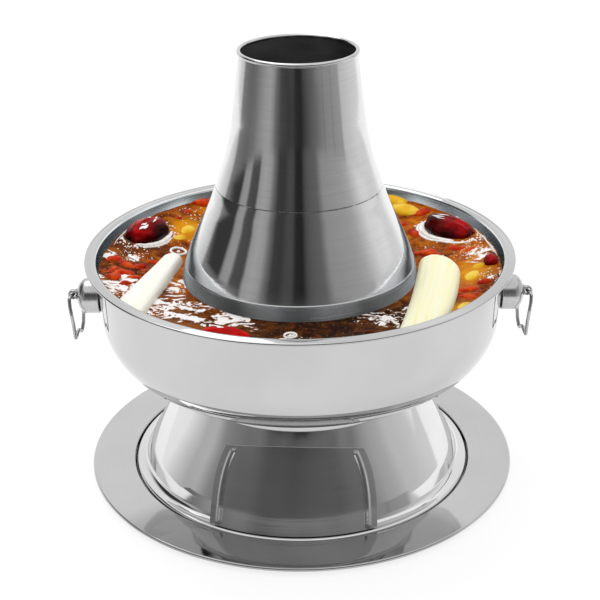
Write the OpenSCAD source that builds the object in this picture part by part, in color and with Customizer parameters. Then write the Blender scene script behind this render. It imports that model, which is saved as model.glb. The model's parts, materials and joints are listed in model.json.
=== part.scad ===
// Charcoal hot pot: drip tray, pedestal with a sliding draught door,
// ring-shaped soup bowl around a fire tube, lift-off chimney, grate and
// two drop-ring handles. Millimetres, +Z up, origin on the table under the
// centre of the tray. The draught door faces -Y, the handles are on +X and -X.

/* [Tray] */
// Outer radius of the tray at its curled edge
tray_r = 165.2; // [155:0.5:172]
// Height of the flat tray rim above the table
tray_h = 6; // [5.6:0.2:9]
// Radius of the well that the pedestal stands in
well_r = 132; // [131.6:0.1:135]
// Thickness of the tray sheet
tray_t = 0.8; // [0.6:0.1:1]

/* [Pedestal] */
// Radius of the pedestal at the neck
neck_r = 88.9; // [84:0.1:89]
// Height of the pedestal's top edge
neck_z = 75.3; // [75:0.1:75.4]
// Radius of the wired foot ring, at the wire's centre
foot_r = 128.2; // [127:0.1:128.4]
// Radius of the curl around the foot wire
foot_curl = 2.5; // [2.2:0.1:2.6]
// Thickness of the pedestal sheet
skirt_t = 0.8; // [0.6:0.1:1]

/* [Draught door] */
// Turn of the door and its opening from the front, degrees
door_turn = -3.4; // [-10:0.1:10]
// Height of the top edge of the door at its middle
door_top = 61.6; // [57:0.1:66]
// Half width of the door at its lower corners
door_half = 61; // [58:0.5:64]
// Gap between the door and the pedestal
door_gap = 0.5; // [0.4:0.1:0.8]
// Height of the lower edge of the draught opening
open_low = 22; // [20:0.5:24]
// Height of the upper edge of the draught opening
open_high = 50; // [48:0.5:52]
// Radius of the ribs pressed in the door
rib_r = 2.1; // [1.6:0.1:2.4]

/* [Bowl] */
// Outer radius of the bowl's rim
rim_r = 160; // [158:0.5:164]
// Height of the rim's inner crest, measured under the sheet
rim_z = 177.1; // [174:0.1:180]
// Thickness of the bowl sheet
bowl_t = 0.9; // [0.7:0.1:1.2]
// Radius of the round corner between the bowl's wall and bottom
bowl_corner = 45; // [30:1:48]

/* [Fire tube and grate] */
// Outer radius of the fire tube at its top
tube_top_r = 81.4; // [81.2:0.1:81.6]
// Height of the top of the fire tube
tube_top_z = 166.5; // [164:0.1:166.5]
// Wall of the fire tube
tube_t = 1.2; // [1:0.1:1.3]
// Radius of the grate
grate_r = 70.5; // [69:0.5:72]
// Radius of each hole in the grate
grate_hole = 4.5; // [3:0.25:5]

/* [Chimney] */
// Radius of the chimney under its mouth
mouth_r = 42.5; // [41:0.1:44]
// Height of the top edge of the chimney sheet
mouth_z = 325.9; // [320:0.1:334]
// Radius of the wire of the mouth ring
mouth_wire = 1.6; // [1.2:0.1:1.8]
// Height of the weld seam between the upper and the lower cone
seam_z = 229; // [224:1:238]
// Outer radius of the collar at its lower edge
collar_r = 88.1; // [87.4:0.1:88.6]
// Height of the collar's lower edge
collar_z = 158; // [156:0.5:160]
// Thickness of the chimney sheet
chim_t = 0.8; // [0.6:0.1:1]

/* [Handles] */
// Height of the handle axis
handle_z = 140; // [136:0.5:143]
// Radius of the handle cup
cup_r = 13.5; // [12:0.5:15]
// Distance of the cup's open face from the pot's axis
cup_x = 152; // [151.8:0.1:153]
// Wire radius of the ring
ring_wire = 1.4; // [1.2:0.05:1.5]
// Turn of the ring about the vertical, degrees
ring_turn = 12; // [0:1:14]

/* [Hidden] */
$fn = 96;

// ---------------------------------------------------------------- helpers
function unit(v) = v / norm(v);
function xy(p) = [p[0], p[1]];

// One corner of a bent sheet: the straight runs a-b and b-c joined by an arc
// of radius f with n steps.
function corner(a, b, c, f, n) =
    f <= 0 ? [xy(b)] :
    let (u = unit(xy(a) - xy(b)), w = unit(xy(c) - xy(b)),
         half = acos(max(-1, min(1, u * w))) / 2,
         tl = f / tan(half), m = unit(u + w),
         o = xy(b) + m * (f / sin(half)),
         s = xy(b) + u * tl - o, e = xy(b) + w * tl - o,
         phi = 180 - 2 * half)
    [for (i = [0:n]) let (k = i / n)
        o + (s * sin((1 - k) * phi) + e * sin(k * phi)) / sin(phi)];

// Path of a bent sheet through points [r, z, bend radius].
function bent(p, n = 6) = concat([xy(p[0])],
    [for (i = [1:len(p) - 2]) each corner(p[i - 1], p[i], p[i + 1], p[i][2], n)],
    [xy(p[len(p) - 1])]);

// Arc of points about o from angle a to angle b.
function arc(o, r, a, b, n) = [for (i = [0:n])
    let (t = a + (b - a) * i / n) [o[0] + r * cos(t), o[1] + r * sin(t)]];

// Unit vector square to the path at point i, to the right of travel.
function side(p, i) = let (d = unit(p[min(i + 1, len(p) - 1)] - p[max(i - 1, 0)]))
    [d[1], -d[0]];
function shifted(p, t) = [for (i = [0:len(p) - 1]) p[i] + t * side(p, i)];
function back(p) = [for (i = [len(p) - 1:-1:0]) p[i]];

// Turned sheet: the path is its outer face, t its thickness.
module sheet(p, t) {
    rotate_extrude() polygon(concat(p, back(shifted(p, t))));
}
// Straight round bar from a to b.
module bar(a, b, r) {
    d = b - a; l = norm(d);
    translate(a) rotate([0, acos(d[2] / l), atan2(d[1], d[0])]) cylinder(h = l, r = r);
}
module hoop(big, small, z) {
    translate([0, 0, z]) rotate_extrude() translate([big, 0]) circle(r = small, $fn = 32);
}
// Prism along Y with its outline in the X-Z plane, from y0 forward to y1.
module front_prism(outline, y0, y1) {
    translate([0, y0, 0]) rotate([90, 0, 0]) linear_extrude(height = y0 - y1) polygon(outline);
}

// ---------------------------------------------------------------- profiles
tray_path = concat([[0, tray_t], [118, tray_t]],
    bent([[124, tray_t], [well_r - 0.4, tray_t, 1.4], [well_r + 0.4, tray_h, 1.6], [tray_r - 1.6, tray_h]], 4),
    arc([tray_r - 1.6, tray_h - 1.6], 1.6, 67.5, -140, 9));

foot_z = tray_t + 0.3 + foot_curl;
cone_r = 118; cone_z = 18.5;
cone_top_z = neck_z - 4.4;
skirt_path = concat(
    bent([[neck_r, neck_z], [neck_r, cone_top_z, 2], [cone_r, cone_z, 30],
          [122.9, foot_z + foot_curl, 7.2], [foot_r, foot_z + foot_curl]], 6),
    arc([foot_r, foot_z], foot_curl, 72, -125, 11));

// Slope of the pedestal cone, and the direction square to it
cone_dir = unit([cone_r - neck_r, cone_z - cone_top_z]);
cone_out = [-cone_dir[1], cone_dir[0]];
door_face = door_gap + skirt_t;
door_line = let (a = [neck_r, cone_top_z] + door_face * cone_out,
                 b = [cone_r, cone_z] + door_face * cone_out)
    bent([a, [b[0], b[1], 40], [foot_r + 0.2, foot_z + foot_curl + 0.9]], 6);
keeper_line = let (a = [neck_r, cone_top_z] - (skirt_t + door_gap) * cone_out,
                   b = [cone_r, cone_z] - (skirt_t + door_gap) * cone_out)
    bent([a, [b[0], b[1], 20], [b[0] + 3, b[1] - 8.2]], 4);

bowl_path = bent([[rim_r - 1, rim_z - 1.7], [152, rim_z, 2.2], [148.8, 108.5, bowl_corner],
                  [90.8, 75.4, 3], [76.9, 75.4]], 10);

tube_low_z = 73.2; tube_low_r = 76.6;
function tube_r(z) = tube_low_r + (tube_top_r - tube_low_r) * (z - tube_low_z) / (tube_top_z - tube_low_z);

// The chimney: a slim upper cone runs through a wide bend into the lower cone,
// which swells below the seam and steepens again towards its foot. The collar
// stands out from the foot by a small shoulder.
bend_z = 259.8; bend_r = 50.8;
chimney_slope = 0.343;
foot_of_cone = [85.5, 169];
seam_r = bend_r + chimney_slope * (bend_z - seam_z);
upper_path = bent([[mouth_r, mouth_z], [bend_r, bend_z, 200], [seam_r, seam_z]], 8);
lower_path = bent([[seam_r + 0.02 * chimney_slope, seam_z - 0.04],
    [seam_r + chimney_slope * (seam_z - 216), 216, 110], [81.6, 181, 95], foot_of_cone], 4);
collar_top = [86.1, 168.4];
collar_path = bent([foot_of_cone, [collar_top[0], collar_top[1], 1], [collar_r, collar_z]], 4);
// Inner radius of the collar at height z
function collar_in(z) = collar_top[0] - 1.02 * chim_t
    + (collar_r - collar_top[0]) * (collar_top[1] - z) / (collar_top[1] - collar_z);

// ---------------------------------------------------------------- tray
module tray_plate() color("gainsboro") sheet(tray_path, tray_t);

// ---------------------------------------------------------------- pedestal
// Half width of the draught opening at height z
function open_half(z) = 42 + 0.22 * (open_high - z);
opening = [[-open_half(open_low), open_low], [open_half(open_low), open_low],
           [open_half(open_high), open_high], [-open_half(open_high), open_high]];

module base_skirt() color("silver")
    difference() {
        sheet(skirt_path, skirt_t);
        rotate([0, 0, door_turn]) front_prism(opening, -60, -150);
    }
module foot_wire() color("gray") hoop(foot_r, foot_curl - skirt_t - 0.07, foot_z);
module neck_ring() color("silver")
    rotate_extrude() polygon([[neck_r + 0.05, neck_z - 3.9], [neck_r + 1.2, neck_z - 3.9],
                              [neck_r + 1.2, neck_z + 0.05], [neck_r + 0.05, neck_z + 0.05]]);

// ---------------------------------------------------------------- bowl
module bowl_shell() color("silver") union() {
    sheet(bowl_path, bowl_t);
    hoop(rim_r - 1.05, 1.05, rim_z - 1.15);
}
module fire_tube() color("gray")
    rotate_extrude() polygon([[tube_low_r, tube_low_z], [tube_top_r, tube_top_z],
        [tube_top_r - tube_t, tube_top_z], [tube_low_r - tube_t, tube_low_z]]);
module grate_ledge() color("gray")
    rotate_extrude() polygon([[67, 78.2], [tube_r(78.2) - tube_t - 0.05, 78.2],
        [tube_r(79.4) - tube_t - 0.05, 79.4], [67, 79.4]]);
module grate() color("dimgray")
    difference() {
        translate([0, 0, 79.7]) cylinder(h = 3, r = grate_r);
        for (ring = [0:3]) for (i = [0:max(0, ring * 6 - 1)])
            rotate([0, 0, ring == 0 ? 0 : i * 60 / ring + ring * 10])
                translate([ring * 17.5, 0, 78]) cylinder(h = 6, r = grate_hole, $fn = 24);
    }

// ---------------------------------------------------------------- door
// Outline of the door seen from the front: its top edge is a straight cut
// across the rolled sheet, its side edges bow outward.
function door_edge(z) = let (k = (z - 4) / (door_top - 9.6))
    door_half - 1.4 * k - 9.4 * k * k * k;
door_rows = [for (i = [0:8]) 4 + (door_top - 9.6) * i / 8];
door_outline = concat(
    [for (z = door_rows) [door_edge(z), z]],
    [for (i = [1:7]) let (x = door_edge(door_top - 5.6) * (1 - i / 4))
        [x, door_top - 5.6 * pow(x / 50, 2)]],
    [for (z = back(door_rows)) [-door_edge(z), z]]);
// Points of the pressed rib on the door's face
function cone_face(z) = neck_r + (cone_top_z - z) * (cone_r - neck_r) / (cone_top_z - cone_z);
function face_r(z) = cone_face(z)
    + door_face / cone_out[0] + (z < 20 ? (20 - z) * (20 - z) * 0.016 : 0);
function rib_point(z) = let (x = door_edge(z) - 6.6, r = face_r(z) - 0.6) [x, -sqrt(r * r - x * x), z];
rib_rows = [53.5, 45, 36, 26, 16, 9.5];

module door_panel() color("darkgray") rotate([0, 0, door_turn]) union() {
    intersection() {
        sheet(door_line, skirt_t);
        front_prism(door_outline, -60, -150);
    }
    difference() {
        for (s = [0, 1]) mirror([s, 0, 0]) for (i = [0:len(rib_rows) - 1]) {
            translate(rib_point(rib_rows[i])) sphere(r = rib_r + 0.02, $fn = 24);
            if (i > 0) bar(rib_point(rib_rows[i - 1]), rib_point(rib_rows[i]), rib_r);
        }
        rotate_extrude() polygon(concat([[0, door_line[0][1] - 0.2]], shifted(door_line, 0.4), [[0, 0]]));
    }
}
// Stud centres on the pedestal's cone, given by height
function cone_point(z, out) = [0, -(cone_face(z) + out * cone_out[0]), z + out * cone_out[1]];
stud_rows = [27, 45];
module door_keeper() color("gray") rotate([0, 0, door_turn]) difference() {
    intersection() {
        sheet(keeper_line, skirt_t);
        front_prism([[-9, 15.5], [9, 15.5], [9, 56], [-9, 56]], -60, -150);
    }
    for (z = stud_rows) bar(cone_point(z, 3), cone_point(z, -6), 2.05);
}
module door_studs() color("gray") rotate([0, 0, door_turn])
    for (z = stud_rows) union() {
        bar(cone_point(z, door_gap - 0.05), cone_point(z, -2.4 - door_gap), 2);
        bar(cone_point(z, -2 * skirt_t - door_gap - 0.05), cone_point(z, -2.4 - door_gap), 3.2);
    }

// ---------------------------------------------------------------- handles
eye_x = cup_x + 20.4;
eye_z = handle_z + 1;
module along_x() { rotate([0, 90, 0]) children(); }

// Stud: its flange is shaped to the slightly conical wall of the bowl
function wall_r(z) = 148.8 + (z - 108.5) * 3.2 / (rim_z - 108.5);
module stud_part() color("gray") difference() {
    translate([0, 0, handle_z]) along_x() union() {
        translate([0, 0, 149.7]) cylinder(h = 1.8, r = 7);
        translate([0, 0, 151.4]) cylinder(h = cup_x + 15.6 - 151.4, r = 4.5);
    }
    translate([0, 0, handle_z - 10])
        cylinder(h = 20, r1 = wall_r(handle_z - 10) + 0.02, r2 = wall_r(handle_z + 10) + 0.02);
}
// Cup: a short cylinder closed by a dome, open towards the bowl
cup_curve = [for (i = [0:8]) let (a = 9 + i * 81 / 8) [cup_r * sin(a), cup_x + 9 + 8.4 * cos(a)]];
cup_hollow = [for (i = [0:8]) let (a = 90 - i * 79 / 8) [(cup_r - 1) * sin(a), cup_x + 9 + 7.4 * cos(a)]];
module cup_part() color("silver") translate([0, 0, handle_z]) along_x()
    rotate_extrude() polygon(concat(cup_curve, [[cup_r, cup_x], [cup_r - 1, cup_x]], cup_hollow));
// Eye: a flat lug with a cross hole on a washer face, its neck through the dome
module eye_part() color("silver") difference() {
    union() {
        intersection() {
            translate([eye_x, 2, eye_z]) rotate([90, 0, 0]) cylinder(h = 4, r = 3.7);
            translate([cup_x + 17.6, -3, eye_z - 5]) cube([10, 6, 10]);
        }
        translate([0, 0, handle_z]) along_x() translate([0, 0, cup_x + 15.7]) cylinder(h = 2.2, r = 1.95);
        translate([0, 0, handle_z]) along_x() translate([0, 0, cup_x + 17.45]) cylinder(h = 0.7, r = 3.2);
    }
    translate([eye_x, 4, eye_z]) rotate([90, 0, 0]) cylinder(h = 8, r = 2.2);
}
// Ring points: along the bar, outward, down
ring_half = [[8.6, 0, 0], [10.2, -0.7, 6], [11.2, -1.9, 12.5], [11.2, -2.8, 20],
             [9.6, -2.6, 28], [7, -1.9, 34.4], [0, -2.2, 29.6]];
function ring_at(p) = [p[1], p[0], -p[2]];
module ring_part() color("silver") translate([eye_x, 0, eye_z]) rotate([0, 0, ring_turn]) union() {
    bar([0, -8.6, 0], [0, 8.6, 0], ring_wire);
    for (s = [0, 1]) mirror([0, s, 0]) for (i = [0:len(ring_half) - 1]) {
        if (i < len(ring_half) - 1) translate(ring_at(ring_half[i])) sphere(r = ring_wire + 0.02, $fn = 24);
        if (i > 0) bar(ring_at(ring_half[i - 1]), ring_at(ring_half[i]), ring_wire);
    }
    translate(ring_at(ring_half[len(ring_half) - 1])) sphere(r = ring_wire + 0.02, $fn = 24);
}

module handle_stud_right() stud_part();
module handle_stud_left() mirror([1, 0, 0]) stud_part();
module handle_cup_right() cup_part();
module handle_cup_left() mirror([1, 0, 0]) cup_part();
module handle_eye_right() eye_part();
module handle_eye_left() mirror([1, 0, 0]) eye_part();
module handle_ring_right() ring_part();
module handle_ring_left() mirror([1, 0, 0]) ring_part();

// ---------------------------------------------------------------- chimney
module chimney_upper() color("silver") sheet(upper_path, chim_t);
module chimney_lower() color("silver") sheet(lower_path, chim_t);
module chimney_collar() color("gray") sheet(collar_path, chim_t);
// Ring inside the collar: its step rests on the fire tube, its spigot centres it
module chimney_seat_ring() color("gray")
    rotate_extrude() polygon([[78.4, 158.6], [79.2, 158.6], [79.2, tube_top_z + 0.3],
        [collar_in(tube_top_z + 0.3) - 0.03, tube_top_z + 0.3],
        [collar_in(tube_top_z + 1.1) - 0.03, tube_top_z + 1.1], [78.4, tube_top_z + 1.1]]);
module chimney_mouth_ring() color("silver") hoop(mouth_r - 0.5, mouth_wire, mouth_z + mouth_wire);

tray_plate();
base_skirt();
foot_wire();
neck_ring();
bowl_shell();
fire_tube();
grate_ledge();
grate();
door_panel();
door_keeper();
door_studs();
handle_stud_left();
handle_stud_right();
handle_cup_left();
handle_cup_right();
handle_eye_left();
handle_eye_right();
handle_ring_left();
handle_ring_right();
chimney_upper();
chimney_lower();
chimney_collar();
chimney_seat_ring();
chimney_mouth_ring();
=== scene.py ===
import bpy
import json
import math
import numpy as np
from mathutils import Matrix, Vector, noise

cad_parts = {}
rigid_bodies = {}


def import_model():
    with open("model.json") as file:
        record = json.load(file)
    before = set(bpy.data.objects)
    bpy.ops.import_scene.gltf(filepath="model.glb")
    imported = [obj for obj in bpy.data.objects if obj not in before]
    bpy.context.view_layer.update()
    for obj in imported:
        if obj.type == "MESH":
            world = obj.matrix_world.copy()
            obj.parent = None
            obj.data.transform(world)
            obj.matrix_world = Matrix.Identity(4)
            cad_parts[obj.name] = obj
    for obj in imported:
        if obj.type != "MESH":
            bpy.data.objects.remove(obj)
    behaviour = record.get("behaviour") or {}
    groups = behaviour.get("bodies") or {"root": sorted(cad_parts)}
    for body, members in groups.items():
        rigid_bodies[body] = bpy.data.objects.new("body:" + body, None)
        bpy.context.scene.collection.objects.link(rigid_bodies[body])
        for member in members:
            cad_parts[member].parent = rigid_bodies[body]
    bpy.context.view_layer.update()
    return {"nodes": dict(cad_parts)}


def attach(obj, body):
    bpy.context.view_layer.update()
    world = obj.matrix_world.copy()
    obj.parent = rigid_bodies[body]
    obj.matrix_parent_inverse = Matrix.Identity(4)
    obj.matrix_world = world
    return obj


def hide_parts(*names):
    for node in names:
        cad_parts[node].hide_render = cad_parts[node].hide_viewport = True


for o in list(bpy.data.objects):
    bpy.data.objects.remove(o)
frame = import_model()
NODES = frame["nodes"]
rng = np.random.default_rng(7)
MM = 0.001

# ------------------------------------------------------------------ materials


class Tree:
    """Short way to write a node tree."""

    def __init__(self, tree):
        self.t = tree
        self.n = tree.nodes
        self.l = tree.links

    def add(self, kind, **kw):
        node = self.n.new(kind)
        for k, v in kw.items():
            setattr(node, k, v)
        return node

    def link(self, a, b):
        self.l.new(a, b)

    def put(self, socket, v):
        if isinstance(v, bpy.types.NodeSocket):
            self.link(v, socket)
        else:
            socket.default_value = v

    def math(self, op, a, b=0.0, c=0.0):
        m = self.add("ShaderNodeMath", operation=op)
        for i, v in enumerate((a, b, c)):
            self.put(m.inputs[i], v)
        return m.outputs[0]

    def vec(self, x, y, z):
        m = self.add("ShaderNodeCombineXYZ")
        for i, v in enumerate((x, y, z)):
            self.put(m.inputs[i], v)
        return m.outputs[0]

    def noise(self, vector, scale=1.0, detail=4.0, rough=0.5, distort=0.0):
        m = self.add("ShaderNodeTexNoise")
        self.link(vector, m.inputs["Vector"])
        m.inputs["Scale"].default_value = scale
        m.inputs["Detail"].default_value = detail
        m.inputs["Roughness"].default_value = rough
        m.inputs["Distortion"].default_value = distort
        return m.outputs["Fac"]

    def range(self, v, a, b, c, d, smooth=False):
        m = self.add("ShaderNodeMapRange", interpolation_type="SMOOTHSTEP" if smooth else "LINEAR")
        for i, x in enumerate((v, a, b, c, d)):
            self.put(m.inputs[i], x)
        return m.outputs[0]

    def ramp(self, v, stops, mode="LINEAR"):
        m = self.add("ShaderNodeValToRGB")
        cr = m.color_ramp
        cr.interpolation = mode
        while len(cr.elements) < len(stops):
            cr.elements.new(0.5)
        for e, (p, col) in zip(cr.elements, stops):
            e.position = p
            e.color = (*(col if hasattr(col, "__len__") else (col, col, col)), 1)
        self.put(m.inputs[0], v)
        return m.outputs[0]

    def mix(self, f, a, b, mode="MIX"):
        m = self.add("ShaderNodeMix", data_type="RGBA", blend_type=mode)
        self.put(m.inputs[0], f)
        for s, v in ((m.inputs[6], a), (m.inputs[7], b)):
            if isinstance(v, bpy.types.NodeSocket):
                self.link(v, s)
            else:
                s.default_value = (*v, 1)
        return m.outputs[2]

    def bump(self, height, strength, distance, normal=None):
        m = self.add("ShaderNodeBump")
        m.inputs["Strength"].default_value = strength
        m.inputs["Distance"].default_value = distance
        self.link(height, m.inputs["Height"])
        if normal is not None:
            self.link(normal, m.inputs["Normal"])
        return m.outputs[0]


def material(name):
    m = bpy.data.materials.new(name)
    m.use_nodes = True
    t = Tree(m.node_tree)
    return m, t, m.node_tree.nodes["Principled BSDF"]


def steel(name, tone, rough, aniso=0.0, marks=0.3, mark_scale=1.0, wave=0.0, spot=0.04, about=None, tint=(1.0, 1.0, 1.0), seam=None, painted_shade_by_turn=None, turn_from=0.0):
    """Stainless sheet. The marks run round the axis of the pot, as turning and
    grinding leave them; about moves that axis for the small fittings."""
    m, t, bsdf = material(name)
    co = t.add("ShaderNodeTexCoord").outputs["Object"]
    sep = t.add("ShaderNodeSeparateXYZ")
    t.link(co, sep.inputs[0])
    x, y, z = sep.outputs
    if about == "x":
        x, y, z = y, t.math("SUBTRACT", z, 0.140), x
    r = t.math("MAXIMUM", t.math("SQRT", t.math("ADD", t.math("MULTIPLY", x, x), t.math("MULTIPLY", y, y))), 1e-5)
    ux, uy = t.math("DIVIDE", x, r), t.math("DIVIDE", y, r)
    run = t.math("ADD", t.math("MULTIPLY", z, 1.0), t.math("MULTIPLY", r, 0.83))
    fine = t.noise(t.vec(t.math("MULTIPLY", ux, 0.9), t.math("MULTIPLY", uy, 0.9), t.math("MULTIPLY", run, 2600 * mark_scale)), 1.0, 3.0, 0.6)
    coarse = t.noise(t.vec(t.math("MULTIPLY", ux, 1.6), t.math("MULTIPLY", uy, 1.6), t.math("MULTIPLY", run, 420 * mark_scale)), 1.0, 3.0, 0.55)
    cloud = t.noise(co, 14.0, 3.0, 0.5)
    grain = t.math("ADD", t.math("MULTIPLY", fine, 0.6), t.math("MULTIPLY", coarse, 0.4))
    lo, hi = rough * 0.75, rough * 1.3 + 0.01
    t.link(t.range(grain, 0.32, 0.68, lo, hi), bsdf.inputs["Roughness"])
    a = tuple(tone * c * (1 - spot) for c in tint)
    b = tuple(min(1.0, tone * c * (1 + spot)) for c in tint)
    base = t.mix(t.range(cloud, 0.35, 0.65, 0.0, 1.0), a, b)
    base = t.mix(t.math("MULTIPLY", t.range(grain, 0.35, 0.65, 0.0, 1.0), marks * 0.5), base, tuple(tone * 0.82 * c for c in tint))
    if painted_shade_by_turn:
        # painted shade: the sheet's tone is darker or lighter in places round the axis (out from turn_from where
        # given), standing in for dark things mirrored in it
        turn = t.math("ARCTAN2", x, t.math("MULTIPLY", y, -1.0))
        k = t.ramp(t.range(turn, -math.pi, math.pi, 0.0, 1.0), [((a_ + 180.0) / 360.0, v_) for a_, v_ in painted_shade_by_turn])
        base = t.mix(t.range(r, turn_from - 0.003, turn_from, 0.0, 1.0) if turn_from else 1.0, base, k, "MULTIPLY")
    if seam:
        off = t.math("ABSOLUTE", t.math("SUBTRACT", z, seam))
        wob = t.noise(t.vec(t.math("MULTIPLY", ux, 9.0), t.math("MULTIPLY", uy, 9.0), 0.0), 1.0, 3.0)
        line = t.math("MULTIPLY", t.range(off, 0.00028, 0.00070, 1.0, 0.0), t.range(wob, 0.32, 0.62, 0.10, 0.52))
        base = t.mix(line, base, (0.05, 0.05, 0.05))
    t.link(base, bsdf.inputs["Base Color"])
    bsdf.inputs["Metallic"].default_value = 1.0
    bsdf.inputs["Anisotropic"].default_value = aniso
    bsdf.inputs["Anisotropic Rotation"].default_value = 0.25 if aniso else 0.0
    n = t.bump(grain, 0.12 * marks, 0.0002)
    if wave:
        swell = t.noise(t.vec(t.math("MULTIPLY", ux, 1.2), t.math("MULTIPLY", uy, 1.2), t.math("MULTIPLY", run, 26)), 1.0, 2.0, 0.4)
        n = t.bump(swell, wave, 0.002, n)
    t.link(n, bsdf.inputs["Normal"])
    return m


M = {}
M["bowl"] = steel("bowl_polish", 0.57, 0.045, 0.0, 0.10, 1.0, 0.02)
# painted shade round the bowl's inside wall: darker towards the front and near ±45°, where the chimney's lower cone
# and collar mirror it
INSIDE_PAINTED_SHADE = [(-180, 1.0), (-66, 0.92), (-50, 0.5), (-44, 0.40), (-35, 0.75), (-26, 0.95), (-17, 0.90), (-9, 0.52), (0, 0.46), (8, 0.62), (17, 1.0), (26, 1.0), (35, 0.80), (45, 0.40), (50, 0.5), (66, 0.92), (180, 1.0)]
M["bowl_in"] = steel("bowl_inside", 0.95, 0.16, 0.0, 0.5, 1.0, 0.02, spot=0.05, tint=(0.97, 1.0, 1.03), painted_shade_by_turn=INSIDE_PAINTED_SHADE)
M["skirt"] = steel("pedestal_polish", 0.74, 0.06, 0.3, 0.2, 1.0, 0.03)
# painted reflection: from r = 130 mm out, the tray's rim is darker in a wedge at the front, where the door and
# pedestal would be mirrored
M["tray"] = steel("tray_polish", 0.58, 0.05, 0.4, 0.3, 0.7, 0.01, painted_shade_by_turn=[(-180, 1.0), (-54, 1.0), (-47, 0.74), (-36, 0.70), (-20, 0.78), (20, 0.80), (42, 0.82), (48, 1.0), (180, 1.0)], turn_from=0.130)
M["upper"] = steel("chimney_upper_brushed", 0.79, 0.060, 0.75, 0.9, 0.8, 0.03, seam=0.229)
M["lower"] = steel("chimney_lower_brushed", 0.79, 0.060, 0.75, 0.7, 1.2, 0.03, seam=0.229)
M["collar"] = steel("collar_satin", 0.58, 0.22, 0.6, 0.5, 1.0)
M["door"] = steel("door_satin", 0.50, 0.20, 0.0, 0.08, 1.0)
M["ring"] = steel("mouth_ring_polish", 0.60, 0.06, 0.0, 0.1, 1.0)
M["cup"] = steel("cup_turned", 0.55, 0.24, 0.0, 0.6, 2.0, about="x")
M["wire"] = steel("wire_drawn", 0.50, 0.20, 0.0, 0.3, 1.0)
M["inside"] = steel("inside_dull", 0.50, 0.34, 0.0, 1.2, 0.6, spot=0.12, tint=(1.0, 0.97, 0.93))
M["chimney_in"] = steel("chimney_inside", 0.30, 0.46, 0.6, 1.0, 0.8, spot=0.10)


def iron():
    m, t, bsdf = material("grate_iron")
    co = t.add("ShaderNodeTexCoord").outputs["Object"]
    a = t.noise(co, 60.0, 5.0, 0.6)
    b = t.noise(co, 700.0, 3.0, 0.6)
    t.link(t.ramp(a, [(0.3, (0.02, 0.018, 0.016)), (0.55, (0.06, 0.052, 0.046)), (0.72, (0.12, 0.075, 0.05))]), bsdf.inputs["Base Color"])
    t.link(t.range(a, 0.3, 0.7, 0.55, 0.85), bsdf.inputs["Roughness"])
    bsdf.inputs["Metallic"].default_value = 0.7
    t.link(t.bump(b, 0.4, 0.0006), bsdf.inputs["Normal"])
    return m


M["iron"] = iron()

# ------------------------------------------------------------------ mesh code


def put(name, verts, faces, mat, body, slot, nodes=(), angle=32, scale=MM):
    """A closed mesh in row-frame millimetres, riding on a body."""
    v = np.asarray(verts, float) * scale
    me = bpy.data.meshes.new(name)
    me.from_pydata(v.tolist(), [], [list(f) for f in faces])
    me.update()
    # outward normals: the signed volume is positive
    vol = 0.0
    for f in faces:
        p0 = v[f[0]]
        for i in range(1, len(f) - 1):
            vol += float(np.dot(p0, np.cross(v[f[i]], v[f[i + 1]])))
    if vol < 0:
        me.flip_normals()
    me.polygons.foreach_set("use_smooth", [True] * len(me.polygons))
    me.set_sharp_from_angle(angle=math.radians(angle))
    me.materials.append(mat)
    ob = bpy.data.objects.new(name, me)
    bpy.context.scene.collection.objects.link(ob)
    if body:
        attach(ob, body)
    if nodes:
        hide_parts(*nodes)
    return ob


def unit(v):
    v = np.asarray(v, float)
    return v / np.linalg.norm(v)


def corner(a, b, c, f, n):
    a, b, c = (np.array(p[:2], float) for p in (a, b, c))
    if f <= 0:
        return [b]
    u, w = unit(a - b), unit(c - b)
    half = math.acos(max(-1, min(1, float(u @ w)))) / 2
    o = b + unit(u + w) * (f / math.sin(half))
    tl = f / math.tan(half)
    s, e = b + u * tl - o, b + w * tl - o
    phi = math.pi - 2 * half
    n = max(2, n)
    return [o + (s * math.sin((1 - k) * phi) + e * math.sin(k * phi)) / math.sin(phi) for k in (i / n for i in range(n + 1))]


def bent(p, n=14):
    out = [np.array(p[0][:2], float)]
    for i in range(1, len(p) - 1):
        out += corner(p[i - 1], p[i], p[i + 1], p[i][2], n)
    out.append(np.array(p[-1][:2], float))
    return out


def arc(o, r, a, b, n):
    return [np.array([o[0] + r * math.cos(math.radians(a + (b - a) * i / n)), o[1] + r * math.sin(math.radians(a + (b - a) * i / n))]) for i in range(n + 1)]


def shifted(p, t):
    out = []
    for i in range(len(p)):
        d = unit(p[min(i + 1, len(p) - 1)] - p[max(i - 1, 0)])
        out.append(p[i] + t * np.array([d[1], -d[0]]))
    return out


def fill_in(p, step=6.0):
    """Extra points on long straight runs, so that the mesh is even."""
    out = [p[0]]
    for a, b in zip(p[:-1], p[1:]):
        k = max(1, int(np.linalg.norm(b - a) / step))
        out += [a + (b - a) * (i / k) for i in range(1, k + 1)]
    return out


def cap(a, b, n=5):
    """Half round from a to b, bulging to the left of a-b's right side."""
    c = (a + b) / 2
    v = a - c
    w = np.array([v[1], -v[0]])
    return [c + v * math.cos(math.pi * i / n) + w * math.sin(math.pi * i / n) for i in range(1, n)]


def sheet_loop(path, t, start=True, end=True, step=6.0):
    """Closed outline of a bent sheet, with rounded edges."""
    p = fill_in(path, step)
    q = shifted(p, t)
    loop = list(p)
    if end:
        loop += [x for x in reversed(cap(q[-1], p[-1]))]
    loop += list(reversed(q))
    if start:
        loop += [x for x in reversed(cap(p[0], q[0]))]
    return loop


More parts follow.
